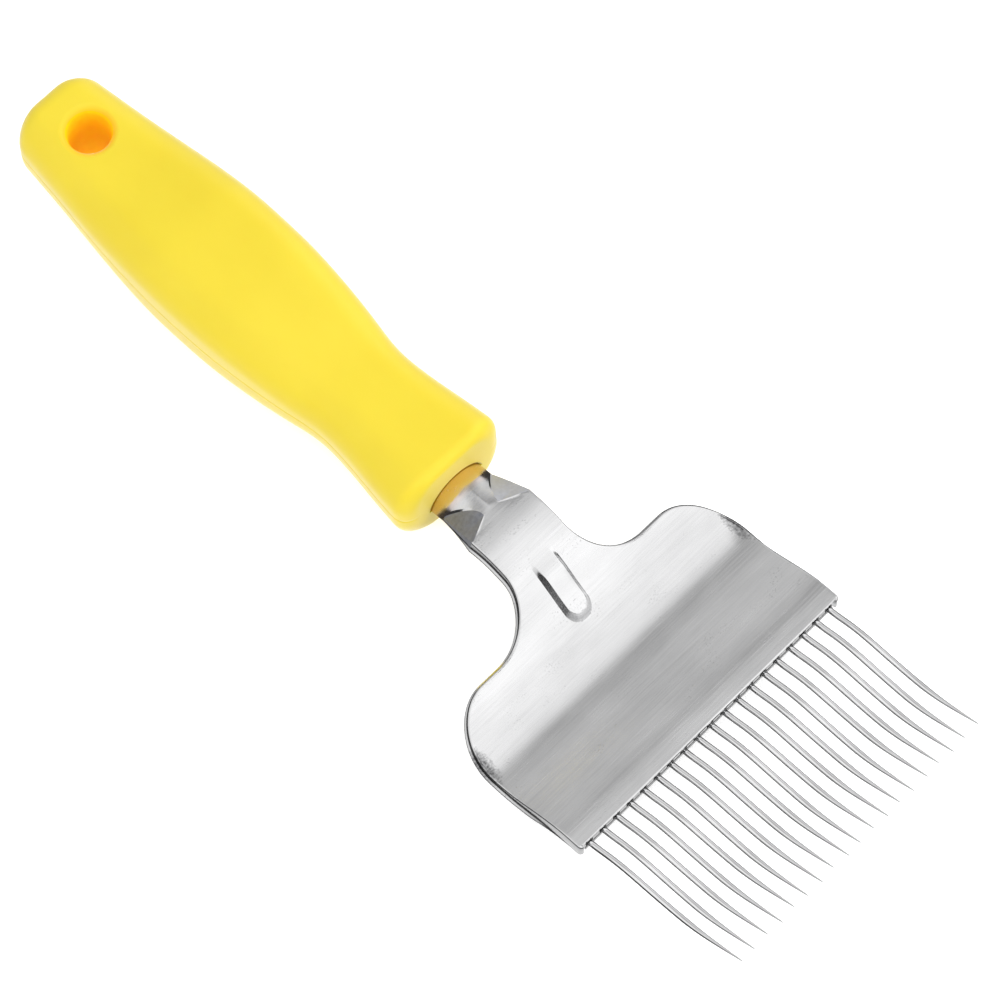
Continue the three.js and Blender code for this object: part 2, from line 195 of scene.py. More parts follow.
TINE_RADIUS = 0.62
TINE_TIP_RADIUS = 0.11
TINE_PITCH = 3.685
TINE_DEPTH = CAD_SHEET + CLEARANCE + TINE_RADIUS
TOE_IN = 0.983
TAPER_START = 209
TAPER_POWER = 1.15
TIP_ROUND = 0.06

# How tines differ: the size of a difference, its pace from tine to tine and where it starts.
LENGTH_CHANGE = (0.3, 2.4, 0.6)
LIFT = (0.3, 1.7, 2.0)
DRIFT = (0.12, 3.1, 1.0)
MEAN_LENGTH_CHANGE = 0.1

# A tine's sections are evenly spaced from the plate to here, and again from here to the tip.
TINE_MIDDLE = 200

# The strip's turned-up front edge: its rounded top, its bent foot and its notches.
WALL_BACK = HEAD_FRONT - 1.1
WALL_FRONT = HEAD_FRONT - 0.2
WALL_BACK_ROUND = 0.12
WALL_FRONT_ROUND = 0.2
WALL_FOOT = [(0, 0.2), (0.2, 0.42), (0.2, 0.6), (0, SHEET)]
NOTCH_X = HEAD_FRONT - 0.6
NOTCH_RADIUS = TINE_RADIUS + CLEARANCE
NOTCH_ROUNDNESS = 0.98
NOTCH_EDGE = 0.04

# ---- Stage, light and camera settings -----------------------------------------------------------

# Metres.
FLOOR_HALF = 3.0
FLOOR_DROP = 0.00005
BACKDROP_RADIUS = 3.0
BACKDROP_HEIGHT = 1.2

# The room that the steel mirrors: brightness by height, from -1 straight down to 1 straight up.
# It is tuned until the head has the photo's tones, so it isn't an even studio.
BELOW = [(-1, 0.9), (-0.92, 0.88), (-0.82, 0.05), (0.02, 0.04)]
HANDLE_SIDE_SKY = BELOW + [(0.18, 0.52), (0.60, 0.60), (0.86, 0.52), (0.93, 0.80), (1, 1.0)]
FAR_SIDE_SKY = BELOW + [(0.18, 0.80), (0.42, 0.78), (0.62, 0.58), (0.86, 0.34), (0.93, 0.78), (1, 1.0)]
TINE_SIDE_SKY = BELOW + [(0.18, 1.25), (0.4, 1.32), (1, 1.1)]
NEAR_SIDE_SKY = BELOW + [(0.18, 0.5), (0.5, 0.95), (1, 1.0)]
NEAR_CORNER_SKY = BELOW + [(0.18, 0.05), (0.28, 0.85), (1, 1.0)]

# Each later sky takes over as the direction turns to its heading, between two dot products.
ROOM = (
    ((0, 1, 0), 0.25, 0.36, FAR_SIDE_SKY),
    ((1, 0, 0), -0.45, 0.15, TINE_SIDE_SKY),
    ((0, -1, 0), 0.2, 0.45, NEAR_SIDE_SKY),
    ((0.45, -0.89, 0), 0.55, 0.75, NEAR_CORNER_SKY),
)

# Name, place, target, size and power, in metres and watts.
LIGHTS = (
    ("overhead", (0.0, 0.1, 1.1), (0.02, 0, 0), 1.0, 1.6),
    ("tine_side", (0.9, 0.4, 0.6), (0.03, 0, 0), 0.7, 4.2),
    ("near_side", (-0.2, -0.9, 0.35), (0, 0, 0), 0.8, 2.7),
    ("far_side", (-0.1, 0.9, 0.4), (0, 0, 0), 0.8, 1.6),
)

# The aim is a point of the frame. It and the distance are in millimetres.
CAMERA_AIM = (12.395, 4.624, 8.2)
CAMERA_DISTANCE = 878.4
CAMERA_AZIMUTH = math.radians(44.68)
CAMERA_ELEVATION = math.radians(67.39)
CAMERA_ROLL = math.radians(-0.144)
CAMERA_LENS = 162.0
CAMERA_SENSOR = 36


# ---- Curves -------------------------------------------------------------------------------------

def blurred(values, step, blur):
    """Values taken one step apart, each averaged with its neighbours over a bell curve."""
    reach = np.arange(-3 * blur, 3 * blur + step, step)
    weight = np.exp(-0.5 * (reach / blur) ** 2)
    padded = np.pad(values, len(reach) // 2, mode="reflect", reflect_type="odd")
    return np.convolve(padded, weight / weight.sum(), mode="valid")[:len(values)]


def curve_through(points, blur=1.2):
    """A smooth function of x through points. It doesn't overshoot, and its curvature is even."""
    px, py = (np.array(column, float) for column in zip(*points))
    chords = np.diff(py) / np.diff(px)
    before = np.concatenate([chords[:1], chords])
    after = np.concatenate([chords, chords[-1:]])
    turning = before * after <= 0
    slope = np.where(turning, 0, 2 * before * after / np.where(turning, 1, before + after))
    step = 0.05
    x = np.arange(px[0] - 4 * blur, px[-1] + 4 * blur + step, step)
    inside = np.clip(x, px[0], px[-1])
    i = np.clip(np.searchsorted(px, inside, side="right") - 1, 0, len(px) - 2)
    width = px[i + 1] - px[i]
    t = (inside - px[i]) / width
    y = (py[i] * (2 * t**3 - 3 * t**2 + 1) + slope[i] * width * (t**3 - 2 * t**2 + t)
         + py[i + 1] * (3 * t**2 - 2 * t**3) + slope[i + 1] * width * (t**3 - t**2))
    y += slope[0] * np.minimum(x - px[0], 0) + slope[-1] * np.maximum(x - px[-1], 0)
    smooth = blurred(y, step, blur)
    return lambda value: np.interp(value, x, smooth)


def smoothstep(value, low, high):
    """From 0 at low to 1 at high, easing in and out."""
    t = np.clip((np.asarray(value, float) - low) / (high - low), 0, 1)
    return t * t * (3 - 2 * t)


def slope_of(curve, x):
    """Rise over run of a curve at x."""
    return (curve(x + 0.1) - curve(x - 0.1)) / 0.2


head_top = curve_through([(119, 15.45), (126, 15.9), (132, NECK_TOP), (136, 15.4), (140, 13.6),
                          (144, 10.4), (148, 6.6), (152, 4), (156, 2.7), (161, 2.1), (166, 2.9),
                          (171, 5), (176, 7.4), (180, 8.7), (HEAD_FRONT, 9.1)])
rim_bottom = curve_through([(119, 10), (125, 11.4), (132, 12.9), (140, 10.8), (148, 4.3),
                            (156, 0.5), (161, 0.02), (166, 0.4), (171, 1.8), (176, 3.7),
                            (181, 4.9), (HEAD_FRONT, 5.2)], blur=1)
handle_half_width = curve_through([(0, 10.2), (4, 10.6), (17, 12.1), (28, 13.6), (40, 14.7),
                                   (50, HANDLE_HALF_WIDTH), (60, 14.95), (70, 14.2), (81, 12.8),
                                   (91, 11.3), (99, 11.9), (107, 13), (HANDLE_LENGTH, 13.9)], blur=2.5)
handle_half_thickness = curve_through([(0, 9.9), (25, 9.9), (36, 10.9), (46, 11.8),
                                       (60, 11.8), (74, 11.1), (90, 9.8), (104, 10),
                                       (HANDLE_LENGTH, 10.3)], blur=2)
tine_free = curve_through([(HEAD_FRONT - 4, 6.6), (HEAD_FRONT, 7.2), (187.5, 7.95), (191, 9.35),
                           (195, 10.05), (201, 10.35), (208.5, 11.05), (213, 12.15), (218, 14.4),
                           (TIP_X, 17.1)], blur=0.9)


# ---- Mesh helpers -------------------------------------------------------------------------------

def place(points):
    """From this script's millimetres to the frame's metres."""
    points = np.asarray(points, float).reshape(-1, 3)
    return (points + [TAIL, 0, 0]) * MM


def new_object(name, vertices, faces, sharp_angle=40):
    """A shaded piece from points in this script's millimetres."""
    mesh = bpy.data.meshes.new(name)
    mesh.from_pydata([tuple(v) for v in place(vertices)], [], [tuple(int(i) for i in f) for f in faces])
    piece = bpy.data.objects.new(name, mesh)
    bpy.context.collection.objects.link(piece)
    shade(piece, sharp_angle)
    return piece


def shade(piece, sharp_angle=40):
    """Outward faces, smooth shading, and sharp edges where two faces meet at a large angle."""
    bm = bmesh.new()
    bm.from_mesh(piece.data)
    bmesh.ops.recalc_face_normals(bm, faces=bm.faces)
    for face in bm.faces:
        face.smooth = True
    limit = math.radians(sharp_angle)
    for edge in bm.edges:
        edge.smooth = len(edge.link_faces) == 2 and edge.calc_face_angle(0) < limit
    bm.to_mesh(piece.data)
    bm.free()


def loft_faces(rings, count):
    """Quads between neighbouring rings, each a closed ring of count points."""
    faces = []
    for ring in range(rings - 1):
        for k in range(count):
            a = ring * count + k
            b = ring * count + (k + 1) % count
            faces.append((a, b, b + count, a + count))
    return faces


def loft_object(name, rings, sharp_angle=40):
    """A closed body through rings, each an array of points, with a flat cap at both ends."""
    count = len(rings[0])
    faces = loft_faces(len(rings), count)
    faces.append(tuple(range(count))[::-1])
    last = (len(rings) - 1) * count
    faces.append(tuple(range(last, last + count)))
    return new_object(name, np.concatenate(rings), faces, sharp_angle)


def subtract(piece, cutter):
    """Cuts cutter out of piece and deletes cutter."""
    boolean = piece.modifiers.new("cut", "BOOLEAN")
    boolean.operation = "DIFFERENCE"
    boolean.solver = "EXACT"
    boolean.object = cutter
    cut = bpy.data.meshes.new_from_object(piece.evaluated_get(bpy.context.evaluated_depsgraph_get()))
    piece.modifiers.clear()
    old = piece.data
    piece.data = cut
    cut.name = piece.name
    bpy.data.meshes.remove(old)
    bpy.data.objects.remove(cutter)


def dress(piece, material, slot, *replaced):
    """Gives a finished piece its material and its place in the frame."""
    piece.data.materials.clear()
    piece.data.materials.append(material)
    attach(piece, BODY)
    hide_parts(*replaced)


# ---- Material helpers ---------------------------------------------------------------------------

class Nodes:
    """A short way to write a material's nodes."""

    def __init__(self, name):
        self.material = bpy.data.materials.new(name)
        self.material.use_nodes = True
        self.tree = self.material.node_tree
        self.shader = self.tree.nodes["Principled BSDF"]
        self.coordinates = self.add("ShaderNodeTexCoord").outputs["Object"]

    def add(self, kind, **settings):
        """A new node with its settings."""
        node = self.tree.nodes.new(kind)
        for key, value in settings.items():
            setattr(node, key, value)
        return node

    def link(self, source, target):
        self.tree.links.new(source, target)

    def shader_values(self, **values):
        """Constant values of the shader, with _ for each space in an input's name."""
        for key, value in values.items():
            self.shader.inputs[key.replace("_", " ")].default_value = value

    def shader_link(self, source, name):
        """Feeds the shader's input of that name."""
        self.link(source, self.shader.inputs[name])

    def stretched(self, scale):
        """Object coordinates in millimetres times scale, one factor for each axis."""
        mapping = self.add("ShaderNodeMapping")
        mapping.inputs["Scale"].default_value = [factor / MM for factor in scale]
        self.link(self.coordinates, mapping.inputs["Vector"])
        return mapping.outputs["Vector"]

    def position(self):
        """This script's own X and Y of a point on the surface."""
        mapping = self.add("ShaderNodeMapping")
        mapping.inputs["Location"].default_value = (-TAIL, 0, 0)
        mapping.inputs["Scale"].default_value = (1 / MM, 1 / MM, 1 / MM)
        self.link(self.coordinates, mapping.inputs["Vector"])
        split = self.add("ShaderNodeSeparateXYZ")
        self.link(mapping.outputs["Vector"], split.inputs["Vector"])
        return split.outputs["X"], split.outputs["Y"]

    def noise(self, scale, detail=3, roughness=0.5):
        """Fractal noise from 0 to 1, with scale waves in a millimetre along each axis."""
        texture = self.add("ShaderNodeTexNoise")
        texture.inputs["Scale"].default_value = 1
        texture.inputs["Detail"].default_value = detail
        texture.inputs["Roughness"].default_value = roughness
        self.link(self.stretched(scale), texture.inputs["Vector"])
        return texture.outputs["Fac"]

    def remap(self, value, low, high, to_low, to_high):
        """to_low where value is low or less, to_high where it is high or more."""
        node = self.add("ShaderNodeMapRange")
        numbers = {"From Min": low, "From Max": high, "To Min": to_low, "To Max": to_high}
        for key, number in numbers.items():
            node.inputs[key].default_value = number
        self.link(value, node.inputs["Value"])
        return node.outputs["Result"]

    def calculate(self, operation, *values):
        """One step of arithmetic on numbers and sockets."""
        node = self.add("ShaderNodeMath", operation=operation)
        for value, socket in zip(values, node.inputs):
            if isinstance(value, (int, float)):
                socket.default_value = value
            else:
                self.link(value, socket)
        return node.outputs[0]

    def sum_of_squares(self, first, second):
        return self.calculate("ADD", self.calculate("MULTIPLY", first, first),
                              self.calculate("MULTIPLY", second, second))

    def ramp(self, value, stops):
        """A colour that goes through stops, each a place from 0 to 1 and a colour."""
        node = self.add("ShaderNodeValToRGB")
        elements = node.color_ramp.elements
        while len(elements) < len(stops):
            elements.new(0.5)
        for element, (position, colour) in zip(elements, stops):
            element.position = position
            element.color = (*colour, 1)
        self.link(value, node.inputs["Fac"])
        return node.outputs["Color"]

    def mix(self, factor, first, second):
        """A colour between two others, each a colour or a socket."""
        node = self.add("ShaderNodeMix", data_type="RGBA")
        for value, name in ((factor, "Factor"), (first, "A"), (second, "B")):
            if isinstance(value, tuple):
                node.inputs[name].default_value = (*value, 1)
            else:
                self.link(value, node.inputs[name])
        return node.outputs["Result"]

    def bump(self, height, distance, strength=1, under=None):
        """A bumped normal, distance millimetres deep, on top of the normal under it."""
        node = self.add("ShaderNodeBump")
        node.inputs["Strength"].default_value = strength
        node.inputs["Distance"].default_value = distance * MM
        self.link(height, node.inputs["Height"])
        if under is not None:
            self.link(under, node.inputs["Normal"])
        return node.outputs["Normal"]


# ---- Materials ----------------------------------------------------------------------------------

def handle_plastic():
    """Glossy yellow moulded plastic, faintly cloudy, with a painted orange glow round the hanging hole."""
    n = Nodes("handle_plastic")
    cloud = n.noise((0.05, 0.08, 0.08), detail=4)
    skin = n.ramp(cloud, [(0.3, (0.735, 0.577, 0.024)), (0.7, (0.765, 0.61, 0.030))])
    x, y = n.position()
    # Painted glow: towards the hanging hole the yellow turns to orange, in place of light that soaks
    # through.
    from_axis = n.calculate("SQRT", n.sum_of_squares(n.calculate("SUBTRACT", x, HOLE_X), y))
    painted_hole_glow = n.remap(from_axis, BORE_EDGE, HOLE_RADIUS + HOLE_LIP * 0.9, 1, 0)
    n.shader_link(n.mix(painted_hole_glow, skin, BORE_GLOW_COLOUR), "Base Color")
    scuffs = n.noise((0.6, 2.5, 2.5), detail=6, roughness=0.65)
    n.shader_link(n.remap(scuffs, 0.35, 0.75, 0.34, 0.46), "Roughness")
    waves = n.bump(n.noise((0.12, 0.2, 0.2), detail=1), 0.05, 0.5)
    peel = n.bump(n.noise((1.6, 1.6, 1.6), detail=2), 0.012, 0.35, waves)
    n.shader_link(peel, "Normal")
    n.shader_values(IOR=1.46, Subsurface_Weight=0.2, Subsurface_Radius=(1.0, 0.7, 0.15),
                    Subsurface_Scale=0.002, Sheen_Weight=0.9, Sheen_Roughness=0.33,
                    Sheen_Tint=(1, 0.95, 0.9, 1))
    return n.material


def bore_plastic():
    """The same plastic in the hanging hole: matte, with a painted orange glow for light that soaks in."""
    n = Nodes("bore_plastic")
    cloud = n.noise((0.5, 0.5, 0.5), detail=3)
    # Painted glow: orange and a weak emission in place of light that soaks into the plastic.
    n.shader_link(n.ramp(cloud, [(0.3, BORE_GLOW_COLOUR), (0.7, (0.95, 0.58, 0.008))]), "Base Color")
    n.shader_link(n.bump(n.noise((1.5, 1.5, 0.3), detail=2), 0.02, 0.4), "Normal")
    n.shader_values(Roughness=0.7, Specular_IOR_Level=0.1, Subsurface_Weight=0.3,
                    Subsurface_Radius=(1.0, 0.5, 0.1), Subsurface_Scale=0.002,
                    Emission_Color=(1, 0.55, 0, 1), Emission_Strength=0.09)
    return n.material


def painted_corner_shade(n):
    """Painted shade: dark smudges inside the two rear corners of the scoop."""
    x, y = n.position()
    along = n.calculate("DIVIDE", n.calculate("SUBTRACT", x, PUCKER_X), SHADE_LENGTH)
    from_edge = n.calculate("SUBTRACT", n.calculate("ABSOLUTE", y), HEAD_HALF_WIDTH - SHADE_INSET)
    squared = n.sum_of_squares(along, n.calculate("DIVIDE", from_edge, SHADE_WIDTH))
    ragged = n.remap(n.noise((2.2, 1.6, 2.2), detail=5), 0.3, 0.7, -0.5, 0.5)
    return n.remap(n.calculate("ADD", squared, ragged), -0.2, 1.2, 0.9, 0)


def rolled_steel():
    """Satin stainless sheet: fine rolling lines across the head, small pits and soft cloudy wear."""
    n = Nodes("rolled_steel")
    lines = n.noise((2.4, 0.06, 2.4), detail=5, roughness=0.7)
    cloud = n.noise((0.12, 0.06, 0.12), detail=3)
    grit = n.noise((3.5, 3.5, 3.5), detail=2, roughness=0.4)
    patches = n.remap(n.noise((0.22, 0.12, 0.22), detail=2), 0.54, 0.66, 0, 1)
    specks = n.remap(n.noise((2.6, 2.6, 2.6), detail=1), 0.62, 0.70, 0, 1)
    pits = n.calculate("MULTIPLY", specks, patches)
    tone = n.calculate("ADD", n.remap(cloud, 0.3, 0.7, 0.0, 0.55), n.remap(lines, 0.3, 0.7, 0.0, 0.45))
    worn = n.calculate("SUBTRACT", tone, n.calculate("MULTIPLY", pits, 0.6))
    bare = n.ramp(worn, [(0.0, (0.64, 0.64, 0.645)), (1.0, (0.84, 0.84, 0.845))])
    # Painted, not mirrored: the photo's orange reflection of the handle, which comes out olive without it.
    painted_reflection_mask = n.remap(n.position()[0], HANDLE_LENGTH + 1, HANDLE_LENGTH + 4.2, 0.8, 0)
    with_painted_reflection = n.mix(painted_reflection_mask, bare, (0.80, 0.55, 0.42))
    # Painted shade darkens the two rear corners of the scoop.
    n.shader_link(n.mix(painted_corner_shade(n), with_painted_reflection, (0.10, 0.10, 0.105)), "Base Color")
    streaks = n.remap(lines, 0.3, 0.7, 0.12, 0.28)
    n.shader_link(n.calculate("ADD", streaks, n.remap(cloud, 0.3, 0.7, -0.02, 0.04)), "Roughness")
    grain = n.bump(lines, 0.014, 0.4)
    rough = n.bump(grit, 0.008, 0.15, grain)
    n.shader_link(n.bump(pits, -0.03, 0.5, rough), "Normal")
    n.shader_values(Metallic=1.0)
    return n.material


def crimped_steel():
    """The same sheet, bruised dull by the crimping tool, with painted shade that is darkest on the near
    facet.
    """
    n = Nodes("crimped_steel")
    bruise = n.noise((1.2, 1.2, 1.2), detail=4, roughness=0.6)
    # Painted: the near facet is darker in the photo, which may be light and not the steel.
    far_side = n.remap(n.position()[1], -2, 2, 0, 0.8)
    tone = n.calculate("ADD", n.remap(bruise, 0.3, 0.7, 0, 0.2), far_side)
    # Painted shade: a dark, slightly blue grey, lighter towards the far facet.
    n.shader_link(n.ramp(tone, [(0.0, (0.13, 0.135, 0.155)), (1.0, (0.42, 0.43, 0.47))]), "Base Color")
    n.shader_link(n.remap(bruise, 0.3, 0.7, 0.42, 0.55), "Roughness")
    n.shader_link(n.bump(bruise, 0.02, 0.3), "Normal")
    n.shader_values(Metallic=0.15)
    return n.material


def tine_steel():
    """Bright drawn wire, with fine draw lines along it and a ground point."""
    n = Nodes("tine_steel")
    lines = n.noise((0.25, 9, 9), detail=3, roughness=0.6)
    cloud = n.noise((0.2, 0.5, 0.5), detail=2)
    n.shader_link(n.ramp(cloud, [(0.3, (0.90, 0.90, 0.905)), (0.7, (0.96, 0.96, 0.965))]), "Base Color")
    n.shader_link(n.remap(lines, 0.3, 0.7, 0.06, 0.14), "Roughness")
    n.shader_link(n.bump(lines, 0.004, 0.3), "Normal")
    # The tint darkens the wire's edges towards the photo's dark outlines.
    n.shader_values(Metallic=1.0, Specular_Tint=(0.35, 0.35, 0.35, 1))
    return n.material


def floor_paper():
    """White paper with a faint fibre, lit a little from behind."""
    n = Nodes("floor_paper")
    fibre = n.noise((0.8, 0.8, 0.8), detail=2)
    n.shader_link(n.ramp(fibre, [(0.3, (0.93, 0.93, 0.93)), (0.7, (0.95, 0.95, 0.95))]), "Base Color")
    n.shader_values(Roughness=0.9, Emission_Color=(1, 1, 1, 1), Emission_Strength=0.5)
    return n.material


# ---- Handle -------------------------------------------------------------------------------------

def roll_off(distance, size):
    """How deep an end is rounded off at a distance from it, for a size of length and depth."""
    length, depth = size
    near = np.clip(1 - distance / length, 0, 1)
    return depth * (1 - math.sqrt(1 - near * near))


def handle_ring(x, corner_steps=14, flat_steps=6):
    """The handle's section at x: four round corners, flat faces, and sides with a parting line."""
    tail, front = x, HANDLE_LENGTH - x
    width = handle_half_width(x) - roll_off(tail, TAIL_SIDES) - roll_off(front, FRONT_SIDES)
    thickness = handle_half_thickness(x) - roll_off(tail, TAIL_FACES) - roll_off(front, FRONT_FACES)
    ry = min(SIDE_ROUND, width * SIDE_ROUND_SHARE)
    rz = min(TOP_ROUND, thickness * TOP_ROUND_SHARE)
    corner_y, corner_z = width - ry, thickness - rz
    starts = [(width, corner_z), (-corner_y, thickness), (-width, -corner_z), (corner_y, -thickness)]
    ring = []
    for quarter, (sy, sz) in enumerate(((1, 1), (-1, 1), (-1, -1), (1, -1))):
        angles = np.linspace(quarter, quarter + 1, corner_steps + 1) * math.pi / 2
        arc = [(sy * corner_y + ry * math.cos(a), sz * corner_z + rz * math.sin(a)) for a in angles]
        ring += arc
        end = arc[-1]
        if quarter % 2:
            side = math.copysign(1, end[0])
            groove = PARTING_GROOVE if quarter == 3 else PARTING_GROOVE[::-1]
            ring += [(end[0] - side * depth, z) for z, depth in groove]
        else:
            following = starts[(quarter + 1) % 4]
            ring += [tuple(p) for p in np.linspace(end, following, flat_steps + 1)[1:-1]]
    lean = TAIL_LEAN * (1 - smoothstep(tail, 0, LEAN_REACH))
    lean += FRONT_LEAN * (1 - smoothstep(front, 0, LEAN_REACH))
    return np.array([(x + lean * (0.5 + z / (2 * thickness)), y, HANDLE_MID_Z + z) for y, z in ring])


def hole_cutter(segments=72):
    """The hanging hole: a bore whose rims flare out in a quarter-round at both faces."""
    face = float(handle_half_thickness(HOLE_X)) + 0.02
    lip = [(HOLE_RADIUS + HOLE_LIP * (1 - math.cos(a)), face - HOLE_LIP + HOLE_LIP * math.sin(a))
           for a in np.linspace(0, math.pi / 2, 9)]
    upper = lip + [(HOLE_RADIUS + HOLE_LIP, face + 4)]
    profile = [(r, -z) for r, z in reversed(upper)] + upper
    angles = np.arange(segments) * 2 * math.pi / segments
    rings = [np.array([(HOLE_X + r * math.cos(a), r * math.sin(a), HANDLE_MID_Z + z) for a in angles])
             for r, z in profile]
    return loft_object("hole_cutter", rings)


def tang_crown(x):
    """Height of the tang's crown, which dips at the mouth of the handle and rises to the neck."""
    if x < TANG_DIP_X:
        return TANG_CROWN_Z + (TANG_DIP_Z - TANG_CROWN_Z) * float(smoothstep(x, TANG_DIP_START, TANG_DIP_X))
    rise = float(head_top(CRIMP_MIDDLE)) - TANG_DIP_Z
    return TANG_DIP_Z + rise * math.sin(math.pi / 2 * (x - TANG_DIP_X) / (CRIMP_MIDDLE - TANG_DIP_X))


def arch_ring(x, gap, steps=28):
    """The tang's arched section at x as a closed ring, with a gap all round it."""
    angles = np.linspace(-TANG_ANGLE, TANG_ANGLE, steps + 1)
    outer, inner = TANG_RADIUS + gap, TANG_RADIUS - CAD_SHEET - gap
    centre_z = tang_crown(x) - TANG_RADIUS
    wide = angles * (1 + gap / TANG_RADIUS / TANG_ANGLE)
    ring = [(x, outer * math.sin(a), centre_z + outer * math.cos(a)) for a in wide]
    ring += [(x, inner * math.sin(a), centre_z + inner * math.cos(a)) for a in wide[::-1]]
    return np.array(ring)


def slot_cutter():
    """The slot for the tang, which opens out a little at the mouth."""
    xs = [TANG_START - CLEARANCE, *np.arange(TANG_DIP_START, SLOT_MOUTH, 2)]
    stations = [(x, SLOT_CLEARANCE) for x in xs]
    stations += [(SLOT_MOUTH + distance, gap) for distance, gap in SLOT_OPENING]
    return loft_object("slot_cutter", [arch_ring(x, gap) for x, gap in stations])


def make_handle():
    """The moulding with its hanging hole and the slot for the tang."""
    tail = TAIL_SIDES[0] * (1 - np.cos(np.linspace(0, math.pi / 2, 14)))
    front = HANDLE_LENGTH - FRONT_SIDES[0] * (1 - np.cos(np.linspace(math.pi / 2, 0, 12)))
    middle = np.arange(tail[-1] + 0.8, front[0] - 0.4, 1.0)
    handle = loft_object("handle_moulding", [handle_ring(x) for x in (*tail, *middle, *front)])
    subtract(handle, hole_cutter())
    subtract(handle, slot_cutter())
    shade(handle, 32)
    dress(handle, handle_plastic(), "handle_plastic", "handle")
    handle.data.materials.append(bore_plastic())
    axis = Vector(place((HOLE_X, 0, HANDLE_MID_Z))[0])
    for face in handle.data.polygons:
        if (face.center - axis).xy.length < BORE_EDGE * MM:
            face.material_index = 1


# ---- Head plate ---------------------------------------------------------------------------------

def rib_rise(x, y, half_width):
    """How far the pressed rib stands above the slope at x, y."""
    along = np.minimum(x, RIB_END - RIB_HALF_WIDTH)
    inside = half_width - np.hypot(x - along, y)
    straight = np.clip(inside / RIB_WALL, 0, 1)
    wall = (1 - RIB_WALL_EASE) * straight + RIB_WALL_EASE * smoothstep(inside, 0, RIB_WALL)
    crown = np.clip(1 - inside / RIB_CROWN, 0, 1)
    height = RIB_HEIGHT - RIB_CROWN_DROP * crown**RIB_CROWN_POWER
    return float(height * wall * smoothstep(x, RIB_START, RIB_START + RIB_RAMP))


def pucker(x, y):
    """The shallow dent that drawing the rim leaves inside each corner of the head."""
    along = (x - PUCKER_X) / PUCKER_LENGTH
    inwards = (abs(y) - HEAD_HALF_WIDTH + PUCKER_INSET) / PUCKER_WIDTH
    return PUCKER_DEPTH * math.exp(-along**2 - inwards**2)


def front_round(x):
    """How far the rounded front edge has dropped at x."""
    radius = SHEET / 2
    near = np.clip(x - (HEAD_FRONT - radius), 0, radius)
    return float(radius - np.sqrt(radius**2 - near**2))


def outline_stations():
    """Stations over the plate: x on the centre line, the outline's x and y, and its outward normal."""
    stations = []
    fillet_x, fillet_y = SHOULDER_X - FILLET_LENGTH, NECK_HALF_WIDTH + FILLET_DEPTH
    shoulder_from = fillet_x + FILLET_SPREAD
    lobe_from = shoulder_from + SHOULDER_SPREAD
    lobe_y = HEAD_HALF_WIDTH - LOBE_DEPTH
    lobe_length = LOBE_CENTRE_X - SHOULDER_X
    for x in np.arange(CRIMP_END, fillet_x, 0.6):
        stations.append((x, x, NECK_HALF_WIDTH, 0, 1))
    for t in np.linspace(0, 1, 31):
        a = t * math.pi / 2
        stations.append((fillet_x + FILLET_SPREAD * t, fillet_x + FILLET_LENGTH * math.sin(a),
                         fillet_y - FILLET_DEPTH * math.cos(a),
                         -math.sin(a) / FILLET_LENGTH, math.cos(a) / FILLET_DEPTH))
    for t in np.linspace(0, 1, 9)[1:-1]:
        stations.append((shoulder_from + SHOULDER_SPREAD * t, SHOULDER_X,
                         fillet_y + (lobe_y - fillet_y) * t, -1, 0))
    for t in np.linspace(0, 1, 41):
        a = t * math.pi / 2
        stations.append((lobe_from + (LOBE_CENTRE_X - lobe_from) * t,
                         LOBE_CENTRE_X - lobe_length * math.cos(a), lobe_y + LOBE_DEPTH * math.sin(a),
                         -math.cos(a) / lobe_length, math.sin(a) / LOBE_DEPTH))
    corner_x = HEAD_FRONT - FRONT_CORNER
    for x in np.arange(LOBE_CENTRE_X, corner_x, 0.7)[1:]:
        stations.append((x, x, HEAD_HALF_WIDTH, 0, 1))
    for a in np.linspace(0, math.pi / 2, 15):
        x = corner_x + FRONT_CORNER * math.sin(a)
        turned = min(a, CORNER_TURN)
        stations.append((x, x, HEAD_HALF_WIDTH - FRONT_CORNER * (1 - math.cos(a)),
                         math.sin(turned), math.cos(turned)))
    return stations


def rim_section(x, y, nx, ny):
    """Outer line, lip and inner line of the turned-down rim at an outline point and its normal."""
    length = math.hypot(nx, ny)
    nx, ny = nx / length, ny / length
    rise = math.atan(float(slope_of(head_top, x)) * nx)
    start = RIM_OUTSET - RIM_BEND * (1 + math.sin(rise))
    centre_z = float(head_top(x + start * nx)) - RIM_BEND * math.cos(rise) - front_round(x)
    lines = []
    for heading in np.linspace(rise, -math.pi / 2, BEND_STEPS + 1):
        lines.append((heading, RIM_OUTSET - RIM_BEND - RIM_BEND * math.sin(heading),
                      centre_z + RIM_BEND * math.cos(heading)))
    flare = 1 - FLARE_FADE * float(smoothstep(x, HEAD_FRONT - FLARE_FADE_LENGTH, HEAD_FRONT))
    end = -math.pi / 2 + flare * (FLARE_HEADING + math.pi / 2)
    low_z = float(rim_bottom(x)) + (RIM_FLARE + SHEET) * math.cos(end)
    low_z = min(low_z, centre_z - RIM_WALL_MIN)
    for heading in np.linspace(-math.pi / 2, end, FLARE_STEPS + 1):
        lines.append((heading, RIM_OUTSET + RIM_FLARE + RIM_FLARE * math.sin(heading),
                      low_z - RIM_FLARE * math.cos(heading)))
    outer = [(d, z) for _, d, z in lines]
    inner = [(d + SHEET * math.sin(h), z - SHEET * math.cos(h)) for h, d, z in lines]
    middle = (np.array(outer[-1]) + np.array(inner[-1])) / 2
    along = np.array((math.cos(end), math.sin(end))) * SHEET / 2
    across = (np.array(outer[-1]) - np.array(inner[-1])) / 2
    lip = [tuple(middle + across * math.cos(a) + along * math.sin(a))
           for a in np.linspace(0, math.pi, LIP_STEPS + 2)[1:-1]]

    def to_space(points):
        return [(x + d * nx, y + d * ny, z) for d, z in points]
    return to_space(outer), to_space(lip), to_space(inner)


